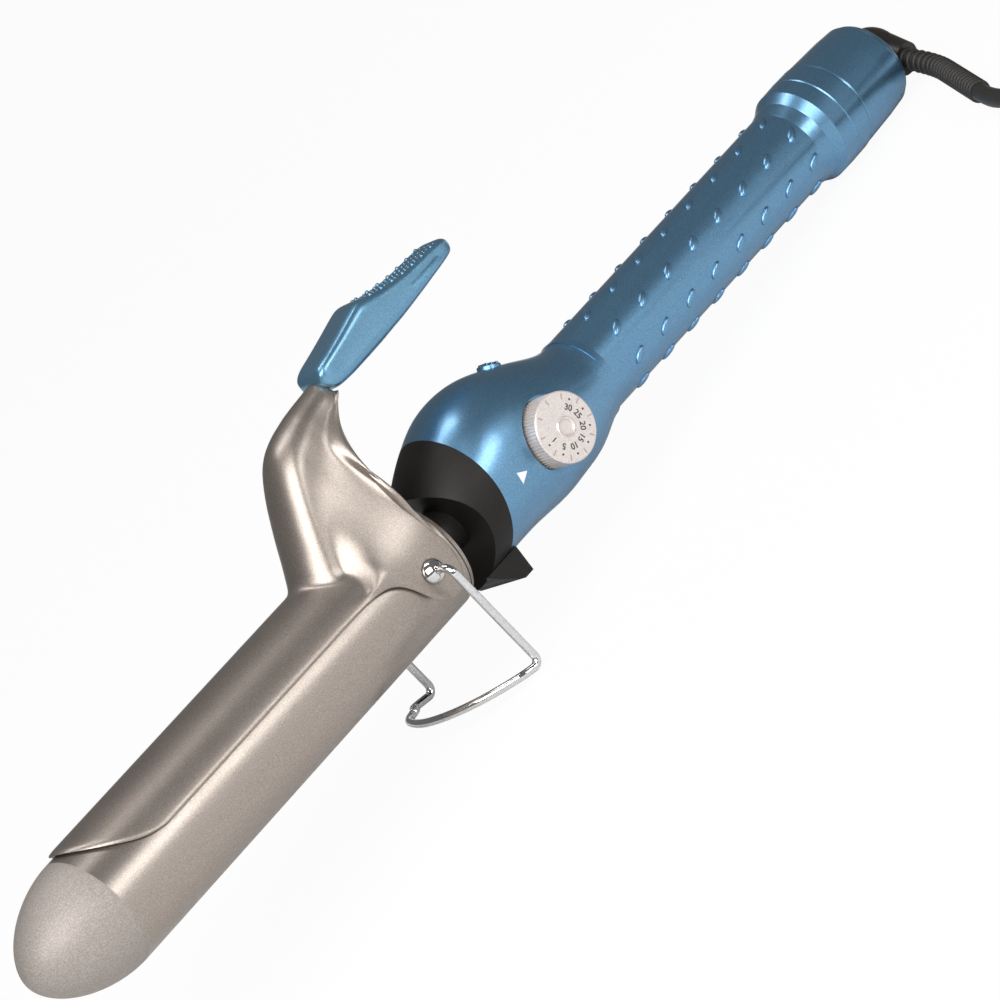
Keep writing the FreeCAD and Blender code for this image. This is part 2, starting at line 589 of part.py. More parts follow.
def make_electrics():
    board = box(BOARD_X0, BOARD_X1, BOARD_Y0, BOARD_Y0 + 1.6, -9.5, 8.5)
    for x, z in BODY_SCREWS:
        board = board.cut(cyl(3.2, V(x, -20, z), V(x, 20, z)))
    nodes["circuit_board"] = board
    nodes["power_triac"] = box(BOARD_X0 + 3, BOARD_X0 + 12, BOARD_Y0 + 1.6, BOARD_Y0 + 5.6, -4.0, 5.0)
    leads = []
    for y in (-1.6, 1.6):
        leads.append(cyl(0.8, V(BOARD_X1, y, 0), V(SWIVEL_CARRIER_X, y, 0)))
    nodes["mains_leads"] = Part.makeCompound(leads)


def make_swivel():
    stem_end = SWIVEL_CARRIER_X + 2.5
    cap = revolved([(CAP_X, GRIP_CORE_R), (CAP_X, CAP_R - 0.1), (CAP_X + 0.6, CAP_R), (END_X - 8, CAP_R - 0.5),
                    (END_X - 2.2, END_R + 0.5), (END_X - END_FILLET, END_R), (END_X, END_R - END_FILLET),
                    (END_X, SWIVEL_STEM_R + RUNNING_GAP), (END_X - 3.0, SWIVEL_STEM_R + RUNNING_GAP),
                    (END_X - 3.0, GRIP_CORE_R)])
    edge = Part.makeTorus(END_R - END_FILLET, END_FILLET, V(END_X - END_FILLET, 0, 0), X_AXIS)
    nodes["end_cap"] = cap.fuse(edge)
    carrier = xtube(SWIVEL_CARRIER_X, SWIVEL_CARRIER_X + 1.6, GRIP_CORE_R - GRIP_CORE_WALL, 0)
    nodes["swivel_carrier"] = carrier
    brushes = []
    for x in (stem_end + 2.2, stem_end + 6.2):
        brushes.append(box(x - 0.6, x + 0.6, -1.5, 1.5, 3.85, 7.6))
    rail = box(SWIVEL_CARRIER_X + 1.6, stem_end + 7.0, -1.5, 1.5, 7.6, 8.2)
    nodes["contact_brushes"] = brushes[0].fuse(brushes[1]).fuse(rail)

    heading = V(RELIEF_DIRECTION)
    heading.normalize()
    centre = V(DOME_X, 0, 0)
    dome = Part.makeSphere(DOME_R, V(DOME_BALL_X, 0, 0))
    dome = dome.fuse(Part.makeCone(DOME_R - 2.0, DOME_NECK_R, DOME_NECK_LENGTH, centre, heading))
    dome = dome.cut(box(END_X - 20, END_X + 0.3, -20, 20, -20, 20))
    dome = dome.fuse(cyl(SWIVEL_STEM_R, V(END_X - 4.4, 0, 0), V(DOME_BALL_X, 0, 0)))
    dome = dome.fuse(cyl(SWIVEL_STEM_R + 2.4, V(END_X - 4.6, 0, 0), V(END_X - 3.2, 0, 0)))
    dome = dome.fuse(cyl(2.4, V(stem_end, 0, 0), V(END_X - 4.0, 0, 0)))
    socket = cyl(RELIEF_ROOT_R, centre.add(heading * RELIEF_START), centre.add(heading * 30))
    nodes["swivel_dome"] = dome.cut(socket)
    rings = []
    for x in (stem_end + 2.2, stem_end + 6.2):
        rings.append(xtube(x - 1.2, x + 1.2, 3.8, 2.4))
    nodes["slip_rings"] = Part.makeCompound(rings)

    lay = V(RELIEF_LAY)
    lay.normalize()
    start = centre.add(heading * RELIEF_START)
    corner = centre.add(heading * RELIEF_CORNER)
    end = corner.add(lay * RELIEF_END_RUN)
    edges, radii = rounded_path([start, corner, end], RELIEF_BEND_SHARE)
    print("relief arc radii", [round(r, 1) for r in radii], "length", round(sum(e.Length for e in edges), 1))
    root_ring = Part.Wire([Part.makeCircle(RELIEF_ROOT_R, start, heading)])
    tip_ring = Part.Wire([Part.makeCircle(RELIEF_TIP_R, end, lay)])
    nodes["strain_relief"] = Part.Wire(edges).makePipeShell([root_ring, tip_ring], True, True)
    return end, lay


# ---- Standing on the table --------------------------------------------------------------------

def table_pitch():
    """The angle about Y that brings the stand's corners and the end cap down to one level."""
    pivot, leg, bow, foot = stand_points()
    cap_x = END_X - END_FILLET
    cap_z = -(END_R - END_FILLET)
    run = cap_x - foot.x
    rise = cap_z - foot.z
    distance = math.hypot(run, rise)
    return math.atan2(rise, run) + math.asin((WIRE_R - END_FILLET) / distance)


# ---- Mains lead, put away ---------------------------------------------------------------------

def make_lead(exit_point, heading):
    route = [exit_point, exit_point.add(heading * LEAD_FIRST_RUN)] + [V(*p) for p in LEAD_ROUTE]
    print("lead route", [[round(c, 2) for c in p] for p in route])
    edges, radii = rounded_path(route)
    print("lead arc radii", [round(r, 1) for r in radii])
    nodes["cord_lead"] = swept(CORD_R, edges)
    report_tube("cord_lead", edges)
    ring = Part.makeCylinder(COIL_MEAN_R + COIL_HALF, COIL_HEIGHT, V(COIL_X, COIL_Y, COIL_BASE_Z))
    hollow = Part.makeCylinder(COIL_MEAN_R - COIL_HALF, COIL_HEIGHT, V(COIL_X, COIL_Y, COIL_BASE_Z))
    coil = ring.cut(hollow)
    nodes["cord_coil"] = coil
    strap = Part.makeBox(2 * COIL_HALF + 2, TIE_WIDTH, COIL_HEIGHT + 2 * COIL_BASE_Z,
                         V(COIL_MEAN_R - COIL_HALF - 1, -TIE_WIDTH / 2, 0))
    strap.rotate(V(0, 0, 0), Z_AXIS, TIE_ANGLE)
    strap.translate(V(COIL_X, COIL_Y, 0))
    nodes["coil_tie"] = strap.cut(coil)
    tail = [V(*p) for p in TAIL_ROUTE]
    edges, radii = rounded_path(tail)
    print("tail arc radii", [round(r, 1) for r in radii])
    nodes["cord_tail"] = swept(CORD_R, edges)
    report_tube("cord_tail", edges)

    heading = tail[-1].sub(tail[-2])
    turn = math.degrees(math.atan2(heading.y, heading.x))
    body = Part.makeBox(PLUG_LENGTH, PLUG_WIDTH, PLUG_HEIGHT, V(0, -PLUG_WIDTH / 2, 0))
    body = body.makeFillet(2.5, [e for e in body.Edges if abs(e.tangentAt(e.FirstParameter).x) > 0.9])
    blades = []
    for y in (-6.35, 6.35):
        blades.append(Part.makeBox(17.5, 1.5, 6.35, V(PLUG_LENGTH, y - 0.75, PLUG_HEIGHT / 2 - 3.175)))
    pins = Part.makeCompound(blades)
    for shape in (body, pins):
        shape.rotate(V(0, 0, 0), Z_AXIS, turn)
        shape.translate(V(tail[-1].x, tail[-1].y, 0))
    nodes["plug_body"] = body
    nodes["plug_blades"] = pins


def report_tube(name, edges):
    length = sum(edge.Length for edge in edges)
    ideal = math.pi * CORD_R ** 2 * length
    print(name, "length", round(length, 1), "volume ratio", round(nodes[name].Volume / ideal, 4))


def main():
    make_barrel()
    make_heater()
    make_flange_and_neck()
    make_clip()
    make_thumb_tab()
    make_pivots()
    make_clip_spring()
    make_stand()
    make_handle()
    make_button()
    make_dial()
    make_electrics()
    relief_end, heading = make_swivel()
    pitch = table_pitch()
    turn = FreeCAD.Rotation(Y_AXIS, math.degrees(pitch))
    low = turn.multVec(V(END_X - END_FILLET, 0, -(END_R - END_FILLET))).z - END_FILLET
    dome = turn.multVec(V(DOME_BALL_X, 0, 0))
    lowest_x = turned_min_x(turn)
    middle = (lowest_x + dome.x + DOME_R) / 2
    place = FreeCAD.Placement(V(-middle, 0, -low), turn)
    for name in nodes:
        nodes[name] = nodes[name].transformed(place.toMatrix())
    pivot = place.multVec(V(PIVOT_X, 0, 0))
    print("pitch", math.degrees(pitch), "pivot", pivot)
    print("relief end", place.multVec(relief_end), "heading", turn.multVec(heading))
    print("dome", place.multVec(V(DOME_X, 0, 0)), "axis", turn.multVec(X_AXIS))
    print("dial", place.multVec(V(DIAL_X, DIAL_FACE_Y, DIAL_Z)))
    low_point, high_point = button_axis(0, 1)
    print("button", place.multVec(low_point), turn.multVec(high_point.sub(low_point)))
    make_lead(place.multVec(relief_end), turn.multVec(heading))
    os.makedirs("parts", exist_ok=True)
    for name, shape in nodes.items():
        print(name, "valid", shape.isValid(), "solids", len(shape.Solids), "volume", round(shape.Volume, 1))
        shape.exportStep("parts/" + name + ".step")


def turned_min_x(turn):
    """The tip's furthest point once the iron is tipped."""
    solid = nodes["tip_cap"].transformed(FreeCAD.Placement(V(0, 0, 0), turn).toMatrix())
    return solid.BoundBox.XMin


main()
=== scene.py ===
import json
import math

import bpy
from mathutils import Matrix, Vector


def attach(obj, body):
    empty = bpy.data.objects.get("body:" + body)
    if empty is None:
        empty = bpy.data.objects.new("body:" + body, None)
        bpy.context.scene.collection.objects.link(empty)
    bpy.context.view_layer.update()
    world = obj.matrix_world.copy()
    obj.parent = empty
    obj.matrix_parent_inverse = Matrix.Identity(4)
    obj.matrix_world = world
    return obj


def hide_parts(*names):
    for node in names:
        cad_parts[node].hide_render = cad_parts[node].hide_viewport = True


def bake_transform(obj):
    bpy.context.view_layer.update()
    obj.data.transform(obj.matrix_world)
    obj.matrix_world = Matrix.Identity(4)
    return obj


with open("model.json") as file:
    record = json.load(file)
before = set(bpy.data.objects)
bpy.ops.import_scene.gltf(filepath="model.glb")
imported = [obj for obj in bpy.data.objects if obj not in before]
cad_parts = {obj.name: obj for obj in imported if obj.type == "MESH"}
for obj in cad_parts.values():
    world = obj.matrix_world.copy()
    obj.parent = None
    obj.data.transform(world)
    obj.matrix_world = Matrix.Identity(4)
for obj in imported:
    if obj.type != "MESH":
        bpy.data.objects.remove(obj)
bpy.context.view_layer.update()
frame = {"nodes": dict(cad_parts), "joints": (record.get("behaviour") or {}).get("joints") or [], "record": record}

MM = 0.001
NODES = frame["nodes"]


# ---- Where the iron lies -------------------------------------------------------------------
# The iron is modelled lying along X, tip at -X, clip on +Z, dial on -Y, with the mouth of the
# barrel at x = 0, and is then tipped onto its stand and end cap.

joints = {joint["name"]: joint for joint in frame["joints"]}
PIVOT_X = -11.3
handle_axis = -Vector(joints["cord_swivel"]["axis"])
pitch = math.atan2(-handle_axis.z, handle_axis.x)
tipped = Matrix.Rotation(pitch, 4, "Y")
pivot = Vector(joints["clip_hinge"]["pos_m"])
IRON = Matrix.Translation(pivot - tipped @ Vector((PIVOT_X * MM, 0, 0))) @ tipped

GRIP_R = 12.1


# ---- Small helpers ---------------------------------------------------------------------------

def deselect():
    if bpy.context.object and bpy.context.object.mode != "OBJECT":
        bpy.ops.object.mode_set(mode="OBJECT")
    bpy.ops.object.select_all(action="DESELECT")


def only(obj):
    """Selects one object and makes it the active one."""
    deselect()
    obj.select_set(True)
    bpy.context.view_layer.objects.active = obj
    return obj


def tidy_mesh(obj):
    """Merges doubles and turns the faces outwards."""
    only(obj)
    bpy.ops.object.mode_set(mode="EDIT")
    bpy.ops.mesh.select_all(action="SELECT")
    bpy.ops.mesh.remove_doubles(threshold=0.00001)
    bpy.ops.mesh.normals_make_consistent(inside=False)
    bpy.ops.object.mode_set(mode="OBJECT")


def apply_modifiers(obj):
    only(obj)
    for modifier in list(obj.modifiers):
        bpy.ops.object.modifier_apply(modifier=modifier.name)


def smooth(obj, degrees=35):
    only(obj)
    bpy.ops.object.shade_smooth_by_angle(angle=math.radians(degrees))


def finish_piece(obj, name, body, material, slot, *nodes, on_iron=True):
    """Puts the piece's place in its mesh, names it, gives its finish and lets it ride."""
    only(obj)
    bpy.ops.object.transform_apply(location=True, rotation=True, scale=True)
    if on_iron:
        obj.data.transform(IRON)
    obj.name = name
    obj.data.name = name
    obj.data.materials.clear()
    obj.data.materials.append(material)
    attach(obj, body)
    if nodes:
        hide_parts(*nodes)
    return obj


# ---- Camera ----------------------------------------------------------------------------------

CAMERA_AIM = Vector((-0.0030, 0.0, 0.0254))
CAMERA_DISTANCE = 1.250
CAMERA_AZIMUTH = -30.66
CAMERA_ELEVATION = 17.09
CAMERA_ROLL = 44.56
CAMERA_LENS = 180.0


def make_camera():
    """A long lens, a little above the iron and towards its tip, rolled so the iron stands on a diagonal."""
    azimuth = math.radians(CAMERA_AZIMUTH)
    elevation = math.radians(CAMERA_ELEVATION)
    back = Vector((math.sin(azimuth) * math.cos(elevation), -math.cos(azimuth) * math.cos(elevation),
                   math.sin(elevation)))
    level_up = (Vector((0, 0, 1)) - back * back.z).normalized()
    level_right = level_up.cross(back)
    roll = math.radians(CAMERA_ROLL)
    up = level_up * math.cos(roll) + level_right * math.sin(roll)
    right = up.cross(back)
    turn = Matrix((right, up, back)).transposed().to_4x4()
    bpy.ops.object.camera_add()
    camera = bpy.context.object
    camera.matrix_world = Matrix.Translation(CAMERA_AIM + back * CAMERA_DISTANCE) @ turn
    camera.data.lens = CAMERA_LENS
    camera.data.sensor_width = 36.0
    bpy.context.scene.camera = camera


make_camera()


# ---- Materials --------------------------------------------------------------------------------

def colour(code):
    """An sRGB hex colour as linear red, green, blue and alpha."""
    parts = [int(code[i:i + 2], 16) / 255 for i in (0, 2, 4)]
    linear = [p / 12.92 if p <= 0.04045 else ((p + 0.055) / 1.055) ** 2.4 for p in parts]
    return (*linear, 1.0)


def add_node(tree, kind, settings=None, **links):
    """Adds a node, with its settings by attribute or socket name and its links by socket name."""
    node = tree.nodes.new(kind)
    for key, value in (settings or {}).items():
        if key in node.inputs:
            node.inputs[key].default_value = value
        else:
            setattr(node, key, value)
    for key, source in links.items():
        tree.links.new(source, node.inputs[key.replace("_", " ")])
    return node


def new_material(name):
    material = bpy.data.materials.new(name)
    material.use_nodes = True
    tree = material.node_tree
    return material, tree, tree.nodes["Principled BSDF"]


# Roughness wanders over patches this many times as wide as the grain.
CLOUD_SIZE = 30


def per_mm(size):
    """The scale of a pattern whose cells are this many millimetres across."""
    return 1.0 / (size * MM)


def grained(name, base, dark, light, grain_mm, rough, rough_spread, bump,
            bump_mm=0.02, metallic=0.0, **sockets):
    """A finish with fine grain: colour and roughness wander a little, and the grain stands up."""
    material, tree, shader = new_material(name)
    shader.inputs["Metallic"].default_value = metallic
    for key, value in sockets.items():
        shader.inputs[key.replace("_", " ")].default_value = value
    place = add_node(tree, "ShaderNodeTexCoord").outputs["Object"]
    grain = add_node(tree, "ShaderNodeTexNoise", {"Scale": per_mm(grain_mm), "Detail": 3.0}, Vector=place)
    cloud_scale = per_mm(grain_mm * CLOUD_SIZE)
    cloud = add_node(tree, "ShaderNodeTexNoise", {"Scale": cloud_scale, "Detail": 2.0}, Vector=place)
    ramp = add_node(tree, "ShaderNodeValToRGB", Fac=grain.outputs["Fac"])
    ramp.color_ramp.elements[0].position = 0.30
    ramp.color_ramp.elements[0].color = colour(dark)
    ramp.color_ramp.elements[1].position = 0.72
    ramp.color_ramp.elements[1].color = colour(light)
    middle = ramp.color_ramp.elements.new(0.5)
    middle.color = colour(base)
    tree.links.new(ramp.outputs["Color"], shader.inputs["Base Color"])
    rough_range = {"To Min": rough - rough_spread, "To Max": rough + rough_spread}
    rough_map = add_node(tree, "ShaderNodeMapRange", rough_range, Value=cloud.outputs["Fac"])
    tree.links.new(rough_map.outputs["Result"], shader.inputs["Roughness"])
    bump_size = {"Strength": bump, "Distance": bump_mm * MM}
    lift = add_node(tree, "ShaderNodeBump", bump_size, Height=grain.outputs["Fac"])
    tree.links.new(lift.outputs["Normal"], shader.inputs["Normal"])
    return material


# Titanium-toned ceramic coat over aluminium, sprayed: a warm grey metal sheen with a fine sparkle.
titanium_coat = grained("titanium_coat", "a69c94", "958b83", "b9afa7", 0.28, 0.33, 0.03, 0.10, metallic=0.9)
# The clip's copy of the coat is a little darker than the barrel's: painted shade, as its lever catches more of the
# lamps' light.
titanium_clip = grained("titanium_clip", "a1978f", "91877f", "b4aaa2", 0.28, 0.38, 0.03, 0.10, metallic=0.9)
# The same coat left matt on the moulded tip, which stays cooler: rougher, with a visible fine grit.
matt_tip = grained("matt_tip", "9c948e", "8a827c", "aea6a0", 0.35, 0.58, 0.04, 0.22, metallic=0.4)
# Nylon with metallic blue lacquer: flakes sparkle under a smooth clear coat.
blue_lacquer = grained("blue_lacquer", "6b99bb", "5b86aa", "82aecb", 0.22, 0.32, 0.03, 0.05, metallic=0.9,
                       Coat_Weight=0.35, Coat_Roughness=0.12)
blue_tab_lacquer = grained("blue_tab_lacquer", "6b9ab8", "5b89aa", "83afc8", 0.22, 0.32, 0.03, 0.05,
                           metallic=0.85, Coat_Weight=0.35, Coat_Roughness=0.12)
# Glass-filled nylon, moulded black with a fine spark-eroded texture.
black_nylon = grained("black_nylon", "14110f", "0f0d0b", "1c1815", 0.40, 0.50, 0.05, 0.18,
                     Specular_IOR_Level=0.3)
# Black ABS, moulded and polished: smoother than the nylon.
black_abs = grained("black_abs", "211e1b", "191613", "2b2723", 0.50, 0.34, 0.04, 0.06)
# PVC of the lead and its boot: soft black with a dry bloom.
black_pvc = grained("black_pvc", "24211e", "1a1815", "302c27", 0.50, 0.55, 0.05, 0.12)
# Bright chrome on bent steel wire.
bright_chrome = grained("bright_chrome", "d9d9d9", "cfcfd0", "e6e6e6", 0.60, 0.08, 0.02, 0.02, metallic=1.0)
# Pearl paint on ABS: pale warm silver with a soft lustre.
pearl_paint = grained("pearl_paint", "d3cac5", "c4bbb5", "e2dad6", 0.25, 0.38, 0.03, 0.05, metallic=0.35)
# Parts inside.
extruded_aluminium = grained("extruded_aluminium", "c9c9c9", "b9b9b9", "d8d8d8", 0.30, 0.40, 0.05, 0.10,
                             metallic=1.0)
zinc_steel = grained("zinc_steel", "b0b0b2", "9c9c9f", "c2c2c4", 0.30, 0.35, 0.05, 0.08, metallic=1.0)
alumina_ceramic = grained("alumina_ceramic", "e2ddd2", "d6d0c4", "ece8df", 0.30, 0.60, 0.05, 0.10)
green_board = grained("green_board", "1d5a30", "174b27", "246a3a", 0.60, 0.40, 0.05, 0.05)
brass = grained("brass", "d9b45c", "c9a24c", "e6c674", 0.30, 0.28, 0.04, 0.05, metallic=1.0)
silicone = grained("silicone", "cfc7b8", "c1b9aa", "dbd4c7", 0.50, 0.55, 0.05, 0.08)
cream_moulding = grained("cream_moulding", "d8ceb8", "ccc2ab", "e2dac6", 0.40, 0.50, 0.05, 0.08)
# Prints: flat ink. The grey for the dial's notches is painted shade, not ink.
black_ink = grained("black_ink", "2a2a2a", "242424", "303030", 0.30, 0.50, 0.03, 0.02)
white_ink = grained("white_ink", "e8ecee", "e0e5e8", "eef1f2", 0.30, 0.50, 0.03, 0.02)
# Flat grey a little darker than the dial: painted shade for the notches on the dial's face.
notch_painted_shade = grained("notch_painted_shade", "a39a96", "988f8b", "b0a7a3", 0.30, 0.45, 0.03, 0.02)
woven_strap = grained("woven_strap", "1c1c1d", "121213", "2a2a2c", 0.60, 0.85, 0.05, 0.60, bump_mm=0.2)

FINISHES = {
    "titanium_barrel": titanium_coat,
    "titanium_tip": matt_tip,
    "titanium_clip": titanium_clip,
    "blue_body": blue_lacquer,
    "blue_tab": blue_tab_lacquer,
    "black_shield": black_nylon,
    "black_part": black_abs,
    "dial_silver": pearl_paint,
    "bright_chrome": bright_chrome,
    "aluminium_part": extruded_aluminium,
    "heater_ceramic": alumina_ceramic,
    "steel_part": zinc_steel,
    "board_green": green_board,
    "contact_brass": brass,
    "wire_insulation": silicone,
    "lead_black": black_pvc,
    "tie_black": woven_strap,
    "insulator_cream": cream_moulding,
}


def finish_cad_nodes():
    """Every carried-over node takes the finish of its slot."""
    for part in frame["record"]["subparts"]:
        node = NODES[part["node"]]
        node.data.materials.clear()
        node.data.materials.append(FINISHES[part["material_slot"]])


finish_cad_nodes()


# ---- Shaping helpers ------------------------------------------------------------------------

def formed_sheet(rows, columns, place):
    """A grid whose vertices are laid at place(u, v), with u along the rows and v across them."""
    deselect()
    bpy.ops.mesh.primitive_grid_add(x_subdivisions=rows - 1, y_subdivisions=columns - 1, size=2.0)
    sheet = bpy.context.object
    for vertex in sheet.data.vertices:
        u = (vertex.co.x + 1) / 2
        v = (vertex.co.y + 1) / 2
        vertex.co = Vector(place(u, v)) * MM
    return sheet


def between(stations, u):
    """The station at u in 0..1, read on a smooth line through all of them."""
    last = len(stations) - 1
    at = min(u * last, last - 0.000001)
    i = int(at)
    f = at - i
    before, here, after, beyond = (stations[min(max(k, 0), last)] for k in (i - 1, i, i + 1, i + 2))
    made = []
    for a, b, c, d in zip(before, here, after, beyond):
        made.append(0.5 * (2 * b + (c - a) * f + (2 * a - 5 * b + 4 * c - d) * f * f
                           + (3 * b - a - 3 * c + d) * f ** 3))
    return made


def ease(low, high, x):
    f = min(1.0, max(0.0, (x - low) / (high - low)))
    return f * f * (3 - 2 * f)


def join(parts):
    """Joins parts into the first one."""
    deselect()
    for part in parts:
        part.select_set(True)
    bpy.context.view_layer.objects.active = parts[0]
    bpy.ops.object.join()
    return parts[0]


def add_modifier(obj, kind, **settings):
    modifier = obj.modifiers.new(kind.lower(), kind)
    for key, value in settings.items():
        setattr(modifier, key, value)
    return modifier


# ---- Clip with its lever -----------------------------------------------------------------------

CLIP_R = 17.3
CLIP_ANGLE = 68.7
CLIP_SHEET = 0.9
FLANGE_X = 3.0
CLIP_TIP_X = -129.6
CLIP_TONGUE = 20.5
BLADE_STRAIGHT_X = -100.0
CLIP_ROWS = 64
CLIP_COLUMNS = 33
# Crown x and z, foot x and z, ridge radius, half width at the foot.
LEVER_STATIONS = [
    (-44.0, 17.3, -43.5, 6.2, 14.0, 16.0),
    (-39.0, 17.3, -37.5, 6.2, 13.5, 16.1),
    (-36.0, 17.7, -32.5, 6.2, 12.5, 16.3),
    (-33.8, 19.0, -28.5, 6.0, 11.2, 16.7),
    (-32.0, 21.4, -25.5, 5.6, 10.4, 17.0),
    (-29.8, 25.2, -22.8, 4.6, 9.8, 17.2),
    (-27.5, 29.5, -20.4, 2.6, 9.4, 17.4),
    (-25.1, 33.6, -18.3, -0.6, 9.1, 17.5),
    (-22.6, 37.7, -16.4, -4.2, 8.8, 17.6),
    (-20.0, 41.4, -14.0, -7.0, 8.5, 17.6),
    (-17.4, 44.4, -11.6, -8.6, 8.2, 17.6),
    (-14.8, 46.3, -8.8, -8.8, 7.9, 17.6),
    (-12.3, 47.4, -6.0, -7.6, 7.6, 17.6),
    (-10.0, 48.1, -3.6, -4.6, 7.4, 17.5),
    (-8.2, 48.5, -2.8, 0.5, 7.2, 17.3),
    (-6.6, 48.8, -4.2, 8.0, 7.0, 16.8),
    (-5.0, 49.1, -5.2, 16.0, 6.8, 15.4),
    (-3.4, 49.3, -4.4, 24.0, 6.6, 13.0),
    (-1.6, 49.5, -2.6, 31.5, 6.3, 10.2),
    (0.8, 49.7, 0.0, 37.6, 6.0, 7.9),
    (3.4, 49.9, 3.4, 41.7, 5.8, 6.6),
    (6.4, 50.2, 7.9, 45.6, 5.6, 5.8),
]
RIDGE_SHARE = 0.40
BLADE_SHARE = 0.22


def clip_point(u, v):
    """The blade is a plain arch with an oval free end; the lever is a ridge with a wall down each side."""
    side = 2 * v - 1
    turn = math.radians(CLIP_ANGLE) * side
    arch = Vector((0, CLIP_R * math.sin(turn), CLIP_R * math.cos(turn)))
    start = LEVER_STATIONS[0]
    if u < BLADE_SHARE:
        along = u / BLADE_SHARE
        across = arch.y / (CLIP_R * math.sin(math.radians(CLIP_ANGLE)))
        round_end = CLIP_TONGUE * (1 - math.sqrt(max(0.0, 1 - across ** 2)))
        end_part = min(1.0, along * 2)
        x = CLIP_TIP_X + round_end * (1 - end_part) + (BLADE_STRAIGHT_X - CLIP_TIP_X) * end_part
        if along > 0.5:
            x = BLADE_STRAIGHT_X + (start[0] - BLADE_STRAIGHT_X) * (along - 0.5) * 2
        return (x, arch.y, arch.z)
    rise = (u - BLADE_SHARE) / (1 - BLADE_SHARE)
    crown_x, crown_z, foot_x, foot_z, ridge, foot_half = between(LEVER_STATIONS, rise)
    crown = Vector((crown_x, 0, crown_z))
    down = Vector((foot_x, 0, foot_z)) - crown
    length = down.length
    down.normalize()
    ridge = min(ridge, length * 0.9)
    reach = abs(side)
    if reach < RIDGE_SHARE:
        angle = math.radians(90) * reach / RIDGE_SHARE
        depth = ridge * (1 - math.cos(angle))
        half = ridge * math.sin(angle)
    else:
        wall = (reach - RIDGE_SHARE) / (1 - RIDGE_SHARE)
        depth = ridge + (length - ridge) * wall
        half = ridge + (foot_half - ridge) * ease(0.0, 0.72, wall)
    tower = crown + down * depth + Vector((0, math.copysign(half, side), 0))
    arched = Vector((crown_x + (foot_x - crown_x) * reach, arch.y, arch.z))
    share = ease(0.02, 0.20, rise)
    place = arched.lerp(tower, share)
    from_axis = math.hypot(place.y, place.z)
    if place.x < -FLANGE_X and place.z > 0 and from_axis < CLIP_R:
        place.y *= CLIP_R / from_axis
        place.z *= CLIP_R / from_axis
    return place


def make_clip():
    clip = formed_sheet(CLIP_ROWS, CLIP_COLUMNS, clip_point)
    tidy_mesh(clip)
    add_modifier(clip, "SOLIDIFY", thickness=CLIP_SHEET * MM, offset=-1.0)
    add_modifier(clip, "SUBSURF", levels=1, render_levels=1)
    apply_modifiers(clip)
    smooth(clip, 50)
    finish_piece(clip, "clip_with_lever", "clip", titanium_clip, "titanium_clip", "clip_plate")


# ---- Thumb tab ----------------------------------------------------------------------------------

# x, top z, underside z, half width
TAB_STATIONS = [
    (6.0, 50.8, 48.9, 4.6),
    (6.9, 52.3, 47.2, 5.8),
    (9.2, 53.5, 45.6, 6.4),
    (14.3, 54.6, 45.1, 6.6),
    (20.0, 55.9, 45.1, 6.6),
    (25.4, 57.2, 45.2, 6.6),
    (28.0, 57.6, 45.3, 6.6),
    (31.0, 57.1, 45.5, 6.6),
    (37.3, 55.7, 45.9, 6.6),
    (45.0, 54.4, 46.7, 6.6),
    (52.0, 54.0, 47.5, 6.5),
    (56.5, 53.8, 48.0, 6.2),
    (59.6, 53.2, 48.5, 5.4),
    (61.0, 52.2, 49.6, 4.2),
]
TAB_HALF_WIDTH = 6.6
TAB_SQUARENESS = 0.45
PAD_DISH = 0.9
PAD_START_X = 33.0
CREASE_DEPTH = 0.8
CREASE_WIDTH = 0.22
BUMP_ROWS = 14
BUMP_ROW_STEP = 1.9
BUMP_COLUMNS = 5
BUMP_COLUMN_STEP = 2.1
BUMP_STAGGER = 0.5
BUMP_R = 0.62
BUMP_SUNK = 0.34


def pad_dish(x, y, half):
    """How deep the thumb pad is dished at a place."""
    return PAD_DISH * ease(28.0, 36.0, x) * (1 - ease(55.0, 60.0, x)) * max(0.0, 1 - (y / half) ** 2)


def tab_point(u, v):
    """A rounded-off rectangle across the tab, with a crease along each side and a dished pad on top."""
    x, top, bottom, half = between(TAB_STATIONS, u)
    angle = 2 * math.pi * v
    across = math.copysign(abs(math.cos(angle)) ** TAB_SQUARENESS, math.cos(angle))
    up = math.copysign(abs(math.sin(angle)) ** TAB_SQUARENESS, math.sin(angle))
    z = (top + bottom) / 2 + up * (top - bottom) / 2
    y = across * half
    crease_run = ease(8.0, 14.0, x) * (1 - ease(54.0, 60.0, x))
    crease = CREASE_DEPTH * crease_run * math.exp(-((up - 0.05) / CREASE_WIDTH) ** 2)
    if abs(across) > 0.6:
        y -= math.copysign(crease, y)
    if up > 0.5:
        z -= pad_dish(x, y, half)
    return (x, y, z)


def make_tab():
    tab = formed_sheet(48, 49, tab_point)
    tidy_mesh(tab)
    only(tab)
    bpy.ops.object.mode_set(mode="EDIT")
    bpy.ops.mesh.select_all(action="DESELECT")
    bpy.ops.mesh.select_non_manifold()
    bpy.ops.mesh.fill_holes(sides=0)
    bpy.ops.mesh.select_all(action="SELECT")
    bpy.ops.mesh.normals_make_consistent(inside=False)
    bpy.ops.object.mode_set(mode="OBJECT")
    smooth(tab, 45)
    parts = [tab]
    for row in range(BUMP_ROWS):
        x = PAD_START_X + row * BUMP_ROW_STEP
        stagger = BUMP_STAGGER if row % 2 else -BUMP_STAGGER
        for column in range(BUMP_COLUMNS):
            y = (column - BUMP_COLUMNS // 2) * BUMP_COLUMN_STEP + stagger
            place = Vector((x, y, tab_top(x) - BUMP_SUNK - pad_dish(x, y, TAB_HALF_WIDTH)))
            bpy.ops.mesh.primitive_ico_sphere_add(subdivisions=2, radius=BUMP_R * MM, location=place * MM)
            bpy.ops.object.shade_smooth()
            parts.append(bpy.context.object)
    for part in parts[1:]:
        only(part)
        bpy.ops.object.transform_apply(location=True, rotation=True, scale=True)
    join(parts)
    finish_piece(tab, "thumb_tab_padded", "clip", blue_tab_lacquer, "blue_tab", "thumb_tab")


